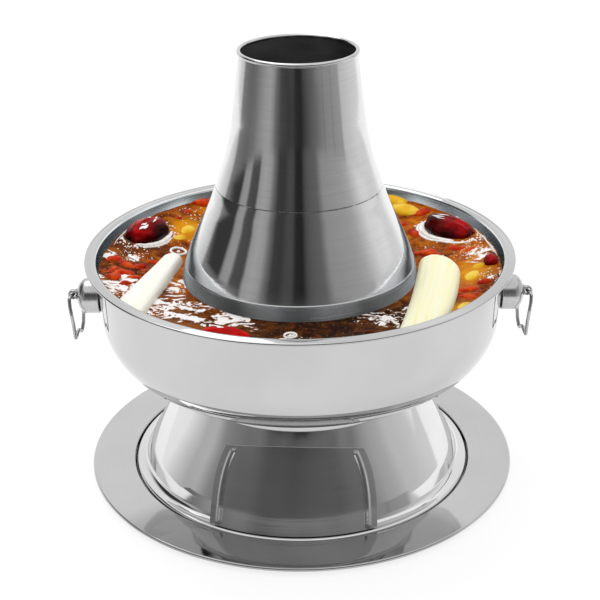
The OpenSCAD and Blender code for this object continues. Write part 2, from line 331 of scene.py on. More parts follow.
def lathe(loop, n=240, axis="z", centre=(0, 0, 0)):
    verts, rows, faces = [], [], []
    for r, z in loop:
        if r < 1e-6:
            rows.append([len(verts)])
            verts.append((0, 0, z))
        else:
            rows.append(list(range(len(verts), len(verts) + n)))
            for k in range(n):
                a = 2 * math.pi * k / n
                verts.append((r * math.cos(a), r * math.sin(a), z))
    m = len(loop)
    for i in range(m):
        a, b = rows[i], rows[(i + 1) % m]
        if len(a) == 1 and len(b) == 1:
            continue
        for k in range(n):
            k2 = (k + 1) % n
            if len(a) == 1:
                faces.append((a[0], b[k2], b[k]))
            elif len(b) == 1:
                faces.append((a[k], a[k2], b[0]))
            else:
                faces.append((a[k], a[k2], b[k2], b[k]))
    v = np.array(verts)
    if axis == "x":
        v = v[:, [2, 0, 1]]
    elif axis == "y":
        v = v[:, [1, 2, 0]]
    return v + np.array(centre, float), faces


def mirrored(v, f):
    w = np.array(v, float)
    w[:, 0] *= -1
    return w, f


def merge(*parts):
    vs, fs, k = [], [], 0
    for v, f in parts:
        vs.append(np.asarray(v, float))
        fs += [tuple(i + k for i in q) for q in f]
        k += len(v)
    return np.vstack(vs), fs


def fillet_path(points, radius, closed=True, n=7):
    """Polyline with rounded corners, in 3-D."""
    pts = [np.array(p, float) for p in points]
    out = []
    m = len(pts)
    for i in range(m):
        a, b, c = pts[(i - 1) % m], pts[i], pts[(i + 1) % m]
        u, w = unit(a - b), unit(c - b)
        cosang = float(np.clip(u @ w, -1, 1))
        half = math.acos(cosang) / 2
        r = radius[i] if hasattr(radius, "__len__") else radius
        tl = min(r / math.tan(half), 0.46 * np.linalg.norm(a - b), 0.46 * np.linalg.norm(c - b))
        s, e = b + u * tl, b + w * tl
        for k in range(n + 1):
            t = k / n
            out.append((1 - t) ** 2 * s + 2 * t * (1 - t) * b + t * t * e)
    return out


def sweep(path, radius, sides=20):
    """Round wire along a closed path."""
    p = np.array(path)
    n = len(p)
    tan = np.array([unit(p[(i + 1) % n] - p[(i - 1) % n]) for i in range(n)])
    nrm = [unit(np.cross(tan[0], [0.3, 0.5, 0.81]))]
    for i in range(1, n):
        v = nrm[-1] - tan[i] * float(nrm[-1] @ tan[i])
        nrm.append(unit(v))
    # spread the twist so that the tube closes
    last = nrm[-1] - tan[0] * float(nrm[-1] @ tan[0])
    last = unit(last)
    tw = math.atan2(float(np.cross(last, nrm[0]) @ tan[0]), float(last @ nrm[0]))
    verts, faces = [], []
    for i in range(n):
        a0 = tw * i / n
        u = nrm[i]
        w = np.cross(tan[i], u)
        for k in range(sides):
            a = 2 * math.pi * k / sides + a0
            verts.append(p[i] + radius * (math.cos(a) * u + math.sin(a) * w))
    for i in range(n):
        j = (i + 1) % n
        for k in range(sides):
            k2 = (k + 1) % sides
            faces.append((i * sides + k, i * sides + k2, j * sides + k2, j * sides + k))
    return np.array(verts), faces


# ------------------------------------------------------------------ tray
tray = bent([[0, 0.8], [131.6, 0.8, 1.4], [132.4, 6, 1.6], [163.6, 6]], 8)[:-1] + arc([163.6, 4.4], 1.6, 90, -140, 20)
p = fill_in(tray, 8)
q = shifted(p, 0.8)
q[0] = np.array([0.0, 0.0])
loop = list(p) + list(reversed(cap(q[-1], p[-1]))) + list(reversed(q))
put("drip_tray", *lathe(loop, 300), M["tray"], "tray", "tray_steel", ["tray_plate"])

# ------------------------------------------------------------------ pedestal
NECK_Z, CONE_TOP, CONE_R, CONE_Z = 75.3, 70.9, 118.0, 18.5
cone_dir = unit([CONE_R - 88.9, CONE_Z - CONE_TOP])
cone_out = np.array([-cone_dir[1], cone_dir[0]])
skirt = bent([[88.9, NECK_Z], [88.9, CONE_TOP, 2], [CONE_R, CONE_Z, 30], [122.9, 6.1, 7.2], [128.2, 6.1]], 12)[:-1] + arc([128.2, 3.6], 2.5, 90, -125, 24)
WIN_LO, WIN_HI, TURN = 22.0, 50.0, -3.4


def open_half(z):
    return 42 + 0.22 * (WIN_HI - z)


def with_window(path):
    """The path with points exactly at the window's edges and between them."""
    out = []
    for a, b in zip(path[:-1], path[1:]):
        out.append(a)
        cuts = [z for z in (WIN_HI, 43.0, 36.0, 29.0, WIN_LO) if min(a[1], b[1]) < z < max(a[1], b[1])]
        for z in sorted(cuts, reverse=a[1] > b[1]):
            out.append(a + (b - a) * (z - a[1]) / (b[1] - a[1]))
    out.append(path[-1])
    return out


outer = with_window([np.array(x) for x in skirt])
inner = with_window(shifted(skirt, 0.8))
n_o = len(outer)
loop = outer + list(reversed(cap(inner[-1], outer[-1]))) + list(reversed(inner))
N_U, W0 = 360, 0.25
us = [(-1 + 2 * k / N_U) for k in range(N_U)]
verts, faces = [], []
for r, z in loop:
    zc = min(max(z, WIN_LO), WIN_HI)
    alpha = math.asin(open_half(zc) / max(r, 60))
    for u in us:
        if abs(u) <= W0:
            th = u / W0 * alpha
        else:
            th = math.copysign(alpha + (abs(u) - W0) / (1 - W0) * (math.pi - alpha), u)
        a = math.radians(-90 + TURN) + th
        verts.append((r * math.cos(a), r * math.sin(a), z))


def in_window(i, j, k):
    zi, zj = loop[i][1], loop[j][1]
    if loop[i][0] > 125 or loop[j][0] > 125:
        return False
    u0, u1 = us[k], us[(k + 1) % N_U]
    return min(zi, zj) >= WIN_LO - 1e-6 and max(zi, zj) <= WIN_HI + 1e-6 and u0 >= -W0 - 1e-9 and u1 <= W0 + 1e-9 and u1 > u0


m = len(loop)
for i in range(m):
    j = (i + 1) % m
    for k in range(N_U):
        if not in_window(i, j, k):
            k2 = (k + 1) % N_U
            faces.append((i * N_U + k, i * N_U + k2, j * N_U + k2, j * N_U + k))
# the cut faces of the window join the outer and the inner skin
o_rows = [i for i in range(n_o) if WIN_LO - 1e-6 <= loop[i][1] <= WIN_HI + 1e-6 and loop[i][0] < 125]
i_rows = [i for i in range(n_o, m) if WIN_LO - 1e-6 <= loop[i][1] <= WIN_HI + 1e-6 and loop[i][0] < 125]
i_rows = list(reversed(i_rows))
kL, kR = us.index(-W0), us.index(W0)
for a, b, c, d in zip(o_rows[:-1], o_rows[1:], i_rows[:-1], i_rows[1:]):
    faces.append((a * N_U + kL, b * N_U + kL, d * N_U + kL, c * N_U + kL))
    faces.append((b * N_U + kR, a * N_U + kR, c * N_U + kR, d * N_U + kR))
for a, c, flip in ((o_rows[0], i_rows[0], True), (o_rows[-1], i_rows[-1], False)):
    for k in range(kL, kR):
        f = (a * N_U + k, a * N_U + k + 1, c * N_U + k + 1, c * N_U + k)
        faces.append(tuple(reversed(f)) if flip else f)
put("pedestal", verts, faces, M["skirt"], "pot", "polished_steel", ["base_skirt"])

neck = [np.array(v, float) for v in ([88.95, 71.5], [89.3, 71.42], [89.8, 71.5], [90.08, 71.9], [90.15, 73.4], [90.08, 74.9], [89.8, 75.28], [89.3, 75.33], [88.95, 75.25])]
put("neck_band", *lathe(neck, 240), M["bowl"], "pot", "polished_steel", ["neck_ring"])

# ------------------------------------------------------------------ draught door
face_gap = 1.3
da = np.array([88.9, CONE_TOP]) + face_gap * cone_out
db = np.array([CONE_R, CONE_Z]) + face_gap * cone_out
door_path = np.array(bent([[*da], [db[0], db[1], 40], [128.4, 7.0]], 24))
door_path = door_path[::-1]          # z rises
door_in = np.array(shifted(list(door_path[::-1]), 0.8))[::-1]


def door_edge(z):
    k = (z - 4) / 52.0
    return 61 - 1.4 * k - 9.4 * k ** 3


def top_at(x):
    return 61.6 - 5.6 * (x / 50.0) ** 2


rib_z = [53.5, 45, 36, 26, 16, 9.5]
rib_line = []
for z0, z1 in zip(rib_z[:-1], rib_z[1:]):
    for i in range(12):
        z = z0 + (z1 - z0) * i / 12
        rib_line.append((door_edge(z) - 6.6, z))
rib_line.append((door_edge(9.5) - 6.6, 9.5))
rib_line = np.array([(x, -math.sqrt(np.interp(z, door_path[:, 1], door_path[:, 0]) ** 2 - x * x), z) for x, z in rib_line])


def rib_height(p):
    q = p.copy()
    q[0] = abs(q[0])
    d = np.min(np.linalg.norm(rib_line - q, axis=1))
    k = 1.62 * (1 - (d / 2.5) ** 2)
    return 0.5 * (k + math.sqrt(k * k + 0.012)) - 0.0037 if d < 3.6 else 0.0


cols = []                            # (share of the way, zone)
for i in range(22):
    cols.append(("mid", i / 22))
for i in range(30):
    cols.append(("rib", i / 30))
for i in range(13):
    cols.append(("edge", i / 12))
cols = [(z, t) for z, t in cols]
full = [(-1, c) for c in reversed(cols[1:])] + [(1, c) for c in cols]


def col_x(c, z):
    e = door_edge(z)
    zone, t = c
    if zone == "mid":
        return (e - 6.6 - 3.4) * t
    if zone == "rib":
        return e - 6.6 - 3.4 + 6.8 * t
    return e - 3.2 + 3.2 * t


NV = 110
zb = float(door_path[0][1])
grid_o, grid_i = [], []
for sgn, c in full:
    for j in range(NV + 1):
        v = j / NV
        z = zb + (56.0 - zb) * v
        for _ in range(6):
            x = col_x(c, min(z, 57.5))
            z = zb + (top_at(x) - zb) * v
        x = col_x(c, min(z, 57.5))
        for path, grid in ((door_path, grid_o), (door_in, grid_i)):
            r = float(np.interp(z, path[:, 1], path[:, 0]))
            pt = np.array([x, -math.sqrt(r * r - x * x), z])
            if grid is grid_o:
                h = rib_height(pt)
            s = np.interp(z + 0.5, path[:, 1], path[:, 0]) - np.interp(z - 0.5, path[:, 1], path[:, 0])
            nz = -s / math.hypot(1, s)
            nr = 1 / math.hypot(1, s)
            nv = np.array([x / r * nr, pt[1] / r * nr, nz])
            pt = pt + nv * h
            grid.append((sgn * pt[0], pt[1], pt[2]))
nc = len(full)
ct, st = math.cos(math.radians(TURN)), math.sin(math.radians(TURN))
V = np.array(grid_o + grid_i)
V = np.stack([V[:, 0] * ct - V[:, 1] * st, V[:, 0] * st + V[:, 1] * ct, V[:, 2]], 1)
off = len(grid_o)
F = []
for i in range(nc - 1):
    for j in range(NV):
        a, b, c, d = i * (NV + 1) + j, (i + 1) * (NV + 1) + j, (i + 1) * (NV + 1) + j + 1, i * (NV + 1) + j + 1
        F.append((a, b, c, d))
        F.append((off + d, off + c, off + b, off + a))
for i in range(nc - 1):
    for j, fl in ((0, False), (NV, True)):
        a, b = i * (NV + 1) + j, (i + 1) * (NV + 1) + j
        f = (b, a, off + a, off + b)
        F.append(tuple(reversed(f)) if fl else f)
for j in range(NV):
    for i, fl in ((0, False), (nc - 1, True)):
        a, b = i * (NV + 1) + j, i * (NV + 1) + j + 1
        f = (a, b, off + b, off + a)
        F.append(tuple(reversed(f)) if fl else f)
door = put("draught_door", V, F, M["door"], "door", "satin_steel", ["door_panel"], angle=50)

# ------------------------------------------------------------------ bowl
under = bent([[76.9, 75.4], [90.8, 75.4, 3], [148.8, 108.5, 45], [152, 177.1, 2.2], [159, 175.4]], 26)
under = fill_in(under, 7)
cut = [pt for pt in under if pt[0] < 157.9]
cut.append(np.array([157.95, 175.63]))
top = shifted(cut, -0.9)
top[-1] = np.array([158.09, 176.54])
loop = list(cut) + arc([158.95, 175.95], 1.05, 198, 505, 26)[1:-1] + list(reversed(top))
n_c, n_t = len(cut), len(loop)
bowl = put("soup_bowl", *lathe(loop, 360), M["bowl"], "pot", "polished_steel", ["bowl_shell"], angle=40)
bowl.data.materials.append(M["bowl_in"])
inner_seg = [i for i in range(n_t) if i > n_c and loop[i][0] < 151.9 and loop[(i + 1) % n_t][0] < 151.9 and loop[i][1] >= loop[(i + 1) % n_t][1] - 1e-6 and i < n_t - 1]
for i in inner_seg:
    for k in range(360):
        bowl.data.polygons[i * 360 + k].material_index = 1

# ------------------------------------------------------------------ chimney
FOOT = [85.5, 169]
seam_r = 50.8 + 0.343 * (259.8 - 229)
up = bent([[42.5, 325.9], [50.8, 259.8, 200], [seam_r, 229]], 28)
up = fill_in(up, 6)
up = up[:-1] + [np.array([seam_r - 0.10, 229.4]), np.array([seam_r - 0.22, 229.05])]
upq = shifted(up, 0.8)
cone = put("chimney_upper_cone", *lathe(list(up) + list(reversed(upq)), 300), M["upper"], "chimney", "brushed_steel", ["chimney_upper"])
cone.data.materials.append(M["chimney_in"])
for i in range(len(up), len(up) + len(upq) - 1):
    for k in range(300):
        cone.data.polygons[i * 300 + k].material_index = 1
low = bent([[seam_r, 229], [seam_r + 0.343 * 13, 216, 110], [81.6, 181, 95], FOOT], 8)
low = [np.array([seam_r - 0.22, 228.95]), np.array([seam_r - 0.02, 228.6])] + fill_in(low, 5)[1:]
put("chimney_lower_cone", *lathe(list(low) + list(reversed(shifted(low, 0.8))), 300), M["lower"], "chimney", "brushed_steel", ["chimney_lower"])
col = bent([FOOT, [86.1, 168.4, 1], [88.1, 158]], 8)
col = [col[0] + np.array([-0.12, 0.02])] + fill_in(col, 3)
colq = shifted(col, 0.8)
loop = list(col) + list(reversed(cap(colq[-1], col[-1]))) + list(reversed(colq))
put("chimney_collar_band", *lathe(loop, 300), M["collar"], "chimney", "satin_steel", ["chimney_collar"])
put("chimney_mouth_wire", *lathe(arc([42.0, 327.5], 1.6, 0, 345, 23), 240), M["ring"], "chimney", "polished_steel", ["chimney_mouth_ring"])

# ------------------------------------------------------------------ handles
HZ, CUPX, CUPR = 140.0, 152.0, 13.5
EYEX, EYEZ, RT = CUPX + 20.4, 141.0, 12.0


def cup_mesh():
    o = [np.array([CUPR * math.sin(math.radians(a)), CUPX + 9 + 8.4 * math.cos(math.radians(a))]) for a in np.linspace(9, 90, 22)]
    o += [np.array([CUPR, CUPX + 4]), np.array([CUPR, CUPX + 0.3]), np.array([CUPR - 0.25, CUPX])]
    i = [np.array([CUPR - 0.75, CUPX]), np.array([CUPR - 1, CUPX + 0.3])]
    i += [np.array([(CUPR - 1) * math.sin(math.radians(a)), CUPX + 9 + 7.4 * math.cos(math.radians(a))]) for a in np.linspace(90, 11, 20)]
    return lathe(o + i, 120, "x", (0, 0, HZ))


def eye_mesh():
    lug = [[2.2, -1.5], [2.35, -1.85], [2.7, -2], [3.2, -2], [3.55, -1.85], [3.7, -1.5], [3.7, 1.5], [3.55, 1.85], [3.2, 2], [2.7, 2], [2.35, 1.85], [2.2, 1.5]]
    a = lathe(lug, 48, "y", (EYEX, 0, EYEZ))
    neck_l = [[0, CUPX + 15.8], [1.9, CUPX + 15.8], [1.95, CUPX + 16.2], [1.95, CUPX + 17.3], [3.0, CUPX + 17.45], [3.2, CUPX + 17.6], [3.2, CUPX + 18.0], [3.0, CUPX + 18.15], [0, CUPX + 18.15]]
    b = lathe(neck_l, 40, "x", (0, 0, HZ))
    return merge(a, b)


def ring_mesh():
    half = [[8.6, 0, 0], [10.2, -0.7, 6], [11.2, -1.9, 12.5], [11.2, -2.8, 20], [9.6, -2.6, 28], [7, -1.9, 34.4], [0, -2.2, 29.6]]
    pts = [(p[1], p[0], -p[2]) for p in half] + [(p[1], -p[0], -p[2]) for p in reversed(half[:-1])]
    rad = [2.2, 8, 12, 12, 10, 2.0, 2.4, 2.0, 10, 12, 12, 8, 2.2]
    path = np.array(fillet_path(pts, rad))
    c, s = math.cos(math.radians(RT)), math.sin(math.radians(RT))
    path = np.stack([path[:, 0] * c - path[:, 1] * s + EYEX, path[:, 0] * s + path[:, 1] * c, path[:, 2] + EYEZ], 1)
    return sweep(path, 1.4, 20)


for side in ("right", "left"):
    f = (lambda m: m) if side == "right" else (lambda m: mirrored(*m))
    put("handle_dome_" + side, *f(cup_mesh()), M["cup"], "pot", "fitting_steel", ["handle_cup_" + side])
    put("handle_lug_" + side, *f(eye_mesh()), M["cup"], "pot", "fitting_steel", ["handle_eye_" + side])
    put("drop_ring_" + side, *f(ring_mesh()), M["wire"], "ring_" + side, "wire_steel", ["handle_ring_" + side])

# CAD nodes that stay get their finish
for n in ("fire_tube", "grate_ledge", "chimney_seat_ring", "door_keeper", "door_studs", "handle_stud_left", "handle_stud_right", "foot_wire"):
    o = NODES[n]
    o.data.materials.clear()
    o.data.materials.append(M["inside"])
NODES["grate"].data.materials.clear()
NODES["grate"].data.materials.append(M["iron"])

# ------------------------------------------------------------------ soup
# Broth and food: loose contents of the bowl, which ride with the pot. The pot
# is on the boil: the broth stands higher along the wall than round the tube.
SOUP_Z, SOUP_IN, SOUP_OUT = 157.7, 81.3, 150.15


def ns(x, y, s, k=0.0):
    return noise.noise(Vector((x / s, y / s, k)))


def smooth(a, b, x):
    t = min(1.0, max(0.0, (x - a) / (b - a)))
    return t * t * (3 - 2 * t)


def level(x, y):
    return SOUP_Z + (5.0 + 6.2 * smooth(-150, 110, y)) * (0.35 * smooth(90, 150, math.hypot(x, y)) + 0.65 * min(1.0, max(0.0, (math.hypot(x, y) - 92) / 58)))


# Food that breaks the surface: (name, x, y, long half, wide half, high half, turn, lift, seed)
JUJUBES = [("a", -120.3, 57, 21.8, 12.8, 12.0, 54, 2.2, 1), ("b", 118.5, 59.5, 23.8, 12.0, 11.2, -43, 1.8, 2), ("d", 143.0, -4, 7.5, 5.8, 6.0, 84, 1.2, 4)]
# Sticks of cane: (name, far left, far right, near left, near right corner, bulge of both ends, half height, bow, seed)
CANES = [("left", (-104.8, 21.0), (-89.8, 19.0), (-131.5, -70.0), (-110.6, -96.0), 5.0, 1.5, 8.0, 0.0, 11),
         ("right", (90.2, 9.0), (119.7, -13.0), (62.0, -131.0), (97.5, -111.0), 13.0, 2.0, 10.5, 2.3, 12)]
wall_line = sorted(((float(p_[1]), float(p_[0])) for p_ in shifted(under, -1.75) if p_[0] > 100), key=lambda q_: q_[0])


def within(v):
    """Keep food clear of the bowl's wall, and flat against it where it touches."""
    v = np.array(v, float)
    r = np.hypot(v[:, 0], v[:, 1])
    lim = np.minimum(149.4, np.interp(v[:, 2], [q_[0] for q_ in wall_line], [q_[1] for q_ in wall_line]))
    k = np.minimum(1.0, lim / np.maximum(r, 1e-6))
    v[:, 0] *= k
    v[:, 1] *= k
    return v


def soup_height(x, y):
    r = math.hypot(x, y)
    calm = smooth(86.0, 96.0, r)
    h = (0.75 * ns(x, y, 21, 3.1) + 0.40 * ns(x, y, 8.5, 8.7) + 0.18 * ns(x, y, 3.2, 1.3)) * calm
    # it boils on the right of the front and under the left edge
    for cx, cy, w, a in ((62, -88, 26, 2.0), (-66, -72, 34, 0.9), (-130, -14, 24, 1.0), (134, 18, 18, 1.1), (126, -40, 20, 0.8)):
        k = math.exp(-((x - cx) ** 2 + (y - cy) ** 2) / (w * w))
        h += a * k * calm * (abs(ns(x, y, 6.5, cx)) * 1.6 - 0.25 + 0.5 * ns(x, y, 2.6, cy))
    for _, jx, jy, a, b, c, turn, lift, sd in JUJUBES:
        t = math.radians(turn)
        u = ((x - jx) * math.cos(t) + (y - jy) * math.sin(t)) / a
        v = (-(x - jx) * math.sin(t) + (y - jy) * math.cos(t)) / b
        d = math.hypot(u, v)
        if d < 1.6:
            h += 1.2 * math.exp(-((d - 1.02) / 0.16) ** 2)
    return level(x, y) + h


nr, na = 70, 620
verts, faces = [], []
radii = [SOUP_IN + (SOUP_OUT - SOUP_IN) * (i / (nr - 1)) for i in range(nr)]
for r in radii:
    for k in range(na):
        a = 2 * math.pi * k / na
        x, y = r * math.cos(a), r * math.sin(a)
        verts.append((x, y, soup_height(x, y)))
# the body of the broth, down along the bowl and back up along the tube
bowl_in = [p_ for p_ in reversed(shifted(under, -1.15)) if 84 < p_[0] and p_[1] < 155.0]
down = [(min(SOUP_OUT, p_[0]), p_[1]) for p_ in bowl_in][::3]
down = [(149.95, 157.0)] + down + [(80.6, 77.6), (78.9, 100.0), (79.8, 120.0), (80.8, 145.0), (81.1, 155.0)]
for r, z in down:
    for k in range(na):
        a = 2 * math.pi * k / na
        verts.append((r * math.cos(a), r * math.sin(a), z))
rows = nr + len(down)
for i in range(rows):
    j = (i + 1) % rows
    for k in range(na):
        k2 = (k + 1) % na
        faces.append((i * na + k, i * na + k2, j * na + k2, j * na + k))


def broth():
    m, t, bsdf = material("broth")
    co = t.add("ShaderNodeTexCoord").outputs["Object"]
    sep = t.add("ShaderNodeSeparateXYZ")
    t.link(co, sep.inputs[0])
    x, y, z = sep.outputs

    def zone(cx, cy, w, core=0.35):
        dx = t.math("SUBTRACT", x, cx)
        dy = t.math("SUBTRACT", y, cy)
        d = t.math("SQRT", t.math("ADD", t.math("MULTIPLY", dx, dx), t.math("MULTIPLY", dy, dy)))
        return t.range(d, w * core, w, 1.0, 0.0, True)

    def most(*v):
        out_ = v[0]
        for w in v[1:]:
            out_ = t.math("MAXIMUM", out_, w)
        return out_

    flat = t.vec(x, y, 0.0)
    c0 = t.noise(flat, 26.0, 3.0, 0.5, 0.6)
    c1 = t.noise(flat, 62.0, 4.0, 0.6, 1.4)
    c2 = t.noise(flat, 150.0, 4.0, 0.6, 0.8)
    c3 = t.noise(flat, 640.0, 3.0, 0.6)
    # the broth is dark brown in front and amber at the sides and at the back
    front = t.range(t.math("ADD", y, t.math("MULTIPLY", t.math("SUBTRACT", c0, 0.5), 0.09)), -0.075, -0.020, 1.0, 0.0, True)
    side = t.range(t.math("ABSOLUTE", x), 0.086, 0.120, 0.0, 1.0, True)
    dark = t.math("MULTIPLY", front, t.math("SUBTRACT", 1.0, t.math("MULTIPLY", side, 0.8)))
    mixed = t.math("ADD", t.math("MULTIPLY", c1, 0.55), t.math("MULTIPLY", c0, 0.45))
    amber = t.ramp(mixed, [(0.34, (0.055, 0.010, 0.001)), (0.42, (0.16, 0.028, 0.001)), (0.49, (0.34, 0.070, 0.001)), (0.56, (0.50, 0.130, 0.001)), (0.64, (0.66, 0.22, 0.002)), (0.72, (0.48, 0.090, 0.001))])
    # deeper in tone on the left
    amber = t.mix(t.range(x, -0.085, -0.125, 0.0, 1.0, True), amber, t.ramp(mixed, [(0.36, (0.030, 0.006, 0.001)), (0.44, (0.085, 0.016, 0.001)), (0.51, (0.20, 0.042, 0.001)), (0.58, (0.36, 0.090, 0.001)), (0.68, (0.55, 0.17, 0.003))]))
    brown = t.ramp(c1, [(0.30, (0.013, 0.003, 0.001)), (0.45, (0.026, 0.006, 0.001)), (0.58, (0.062, 0.015, 0.002)), (0.72, (0.17, 0.046, 0.004))])
    # lighter on the left of the front
    brown = t.mix(t.range(x, -0.075, -0.005, 0.9, 0.0, True), brown, t.ramp(c1, [(0.30, (0.060, 0.012, 0.001)), (0.48, (0.15, 0.034, 0.002)), (0.62, (0.27, 0.075, 0.006))]))
    base = t.mix(dark, amber, brown)
    # darker, redder water on the left, where herbs lie under the surface
    herbs = most(zone(-0.134, -0.010, 0.034), t.math("MULTIPLY", zone(0.104, 0.048, 0.030), 0.35), zone(-0.135, 0.040, 0.020))
    base = t.mix(t.math("MULTIPLY", herbs, t.range(c2, 0.42, 0.56, 0.9, 0.1, True)), base, (0.075, 0.014, 0.003))
    base = t.mix(t.math("MULTIPLY", most(zone(-0.134, -0.012, 0.034), zone(0.124, -0.052, 0.026)), t.range(c2, 0.55, 0.66, 0.0, 0.9, True)), base, (0.66, 0.050, 0.002))
    # yellow glow over pieces close under the surface
    glow = most(zone(-0.089, 0.078, 0.022, 0.1), t.math("MULTIPLY", zone(0.128, -0.018, 0.022, 0.1), 0.8), t.math("MULTIPLY", zone(0.113, -0.080, 0.020, 0.1), 0.8), t.math("MULTIPLY", zone(-0.062, 0.112, 0.030, 0.1), 0.6))
    base = t.mix(t.math("MULTIPLY", glow, 0.85), base, (0.80, 0.34, 0.006))
    # specks of oil and spice
    speck = t.range(c3, 0.64, 0.70, 0.0, 1.0, True)
    base = t.mix(t.math("MULTIPLY", speck, 0.6), base, (0.92, 0.66, 0.30))
    dirt = t.range(c3, 0.30, 0.36, 1.0, 0.0, True)
    base = t.mix(t.math("MULTIPLY", dirt, 0.5), base, (0.05, 0.014, 0.004))
    # painted glare on the wavelets, near-white patches with pale brown halos in the base colour: on the left of the
    # front, by the right cane and along the left rim
    z1 = most(zone(-0.092, -0.066, 0.030), zone(-0.066, -0.072, 0.032), zone(-0.048, -0.084, 0.024), t.math("MULTIPLY", zone(-0.090, -0.026, 0.026), 0.85),
              t.math("MULTIPLY", zone(-0.036, -0.100, 0.014), 0.8), t.math("MULTIPLY", zone(-0.132, -0.032, 0.030), 0.82), t.math("MULTIPLY", zone(-0.136, 0.016, 0.020), 0.66), t.math("MULTIPLY", zone(0.062, -0.080, 0.030), 0.50),
              t.math("MULTIPLY", zone(-0.006, -0.118, 0.014), 0.72), t.math("MULTIPLY", zone(0.136, 0.016, 0.022), 0.60), t.math("MULTIPLY", zone(0.143, -0.024, 0.016), 0.7),
              t.math("MULTIPLY", zone(0.094, 0.046, 0.022), 0.35))
    f1 = t.noise(t.vec(x, t.math("MULTIPLY", y, 1.2), 0.0), 60.0, 3.0, 0.55, 1.5)
    f2 = t.noise(t.vec(t.math("MULTIPLY", x, 0.8), t.math("MULTIPLY", y, 1.8), 0.3), 150.0, 2.0, 0.5, 1.0)
    f = t.math("ADD", t.math("ADD", f1, t.math("MULTIPLY", t.math("SUBTRACT", f2, 0.5), 0.35)), t.math("MULTIPLY", z1, 0.25))
    painted_glare = t.math("MULTIPLY", t.range(f, 0.715, 0.745, 0.0, 1.0, True), t.range(z1, 0.0, 0.15, 0.0, 1.0))
    painted_glare_halo = t.math("MULTIPLY", t.range(f, 0.66, 0.74, 0.0, 0.45, True), t.range(z1, 0.0, 0.15, 0.0, 1.0))
    base = t.mix(painted_glare_halo, base, (0.42, 0.20, 0.085))
    base = t.mix(painted_glare, base, (0.97, 0.93, 0.92))
    t.link(base, bsdf.inputs["Base Color"])
    t.link(t.range(painted_glare, 0.0, 1.0, 0.10, 0.22), bsdf.inputs["Roughness"])
    bsdf.inputs["IOR"].default_value = 1.33
    bsdf.inputs["Specular IOR Level"].default_value = 0.03
    n = t.bump(t.math("ADD", t.math("MULTIPLY", c2, 0.7), t.math("MULTIPLY", c3, 0.2)), 0.35, 0.0012)
    t.link(n, bsdf.inputs["Normal"])
    return m


# The steel doesn't mirror the broth and food: its reflections stay neutral.
contents = [put("broth", verts, faces, broth(), "pot", None, angle=60)]


def glossy(name, stops, rough=0.16, scale=30.0, bump=0.4, coat=0.8, stretch=(1, 1, 1), sub=0.0, dist=0.0012, spec=0.5, fine=7.0, shade=None):
    m, t, bsdf = material(name)
    co = t.add("ShaderNodeTexCoord").outputs["Object"]
    mp = t.add("ShaderNodeMapping")
    mp.inputs["Scale"].default_value = stretch
    t.link(co, mp.inputs["Vector"])
    a = t.noise(mp.outputs[0], scale, 4.0, 0.55)
    b = t.noise(mp.outputs[0], scale * fine, 3.0, 0.6)
    tone = t.ramp(a, stops)
    if shade:
        # painted shade: darker low on the piece, near the broth, as if lit from above
        sep = t.add("ShaderNodeSeparateXYZ")
        t.link(co, sep.inputs[0])
        h = t.range(t.math("ADD", sep.outputs[2], t.math("MULTIPLY", t.math("SUBTRACT", a, 0.5), 0.006)), shade[0], shade[1], shade[2], 1.0, True)
        tone = t.mix(1.0, tone, h, "MULTIPLY")
    t.link(tone, bsdf.inputs["Base Color"])
    t.link(t.range(b, 0.3, 0.7, rough * 0.7, rough * 1.5), bsdf.inputs["Roughness"])
    bsdf.inputs["Specular IOR Level"].default_value = spec
    bsdf.inputs["Coat Weight"].default_value = coat
    bsdf.inputs["Coat Roughness"].default_value = 0.04
    if sub:
        bsdf.inputs["Subsurface Weight"].default_value = sub
        bsdf.inputs["Subsurface Scale"].default_value = 0.004
    t.link(t.bump(t.math("ADD", a, t.math("MULTIPLY", b, 0.3)), bump, dist), bsdf.inputs["Normal"])
    return m


M["jujube"] = glossy("jujube_skin", [(0.34, (0.035, 0.0002, 0.0003)), (0.47, (0.16, 0.0006, 0.0012)), (0.58, (0.32, 0.002, 0.003)), (0.68, (0.50, 0.004, 0.005))], 0.16, 52.0, 0.35, 0.03, spec=0.05, shade=(0.1655, 0.1745, 0.20))
M["cane"] = glossy("cane_flesh", [(0.28, (0.95, 0.86, 0.42)), (0.42, (1.0, 0.96, 0.60)), (0.60, (1.0, 0.99, 0.74))], 0.40, 22.0, 0.25, 0.0, (16, 0.5, 16), 0.10, spec=0.1)
M["cane_pale"] = glossy("cane_pith", [(0.28, (1.0, 0.95, 0.72)), (0.42, (1.0, 0.99, 0.86)), (0.60, (1.0, 1.0, 0.92))], 0.40, 22.0, 0.25, 0.0, (16, 0.5, 16), 0.10, spec=0.1)
M["goji"] = glossy("goji_skin", [(0.30, (0.34, 0.008, 0.0005)), (0.50, (0.54, 0.026, 0.0005)), (0.70, (0.74, 0.100, 0.002))], 0.18, 120.0, 0.4, 0.03, spec=0.05)
M["chili"] = glossy("red_date_peel", [(0.30, (0.32, 0.0006, 0.0004)), (0.50, (0.54, 0.002, 0.0006)), (0.70, (0.76, 0.010, 0.002))], 0.12, 70.0, 0.25, 0.0, spec=0.02)
M["lump"] = glossy("yellow_root", [(0.30, (0.66, 0.27, 0.003)), (0.50, (0.82, 0.46, 0.008)), (0.68, (0.96, 0.74, 0.10))], 0.24, 44.0, 0.3, 0.03, spec=0.08)


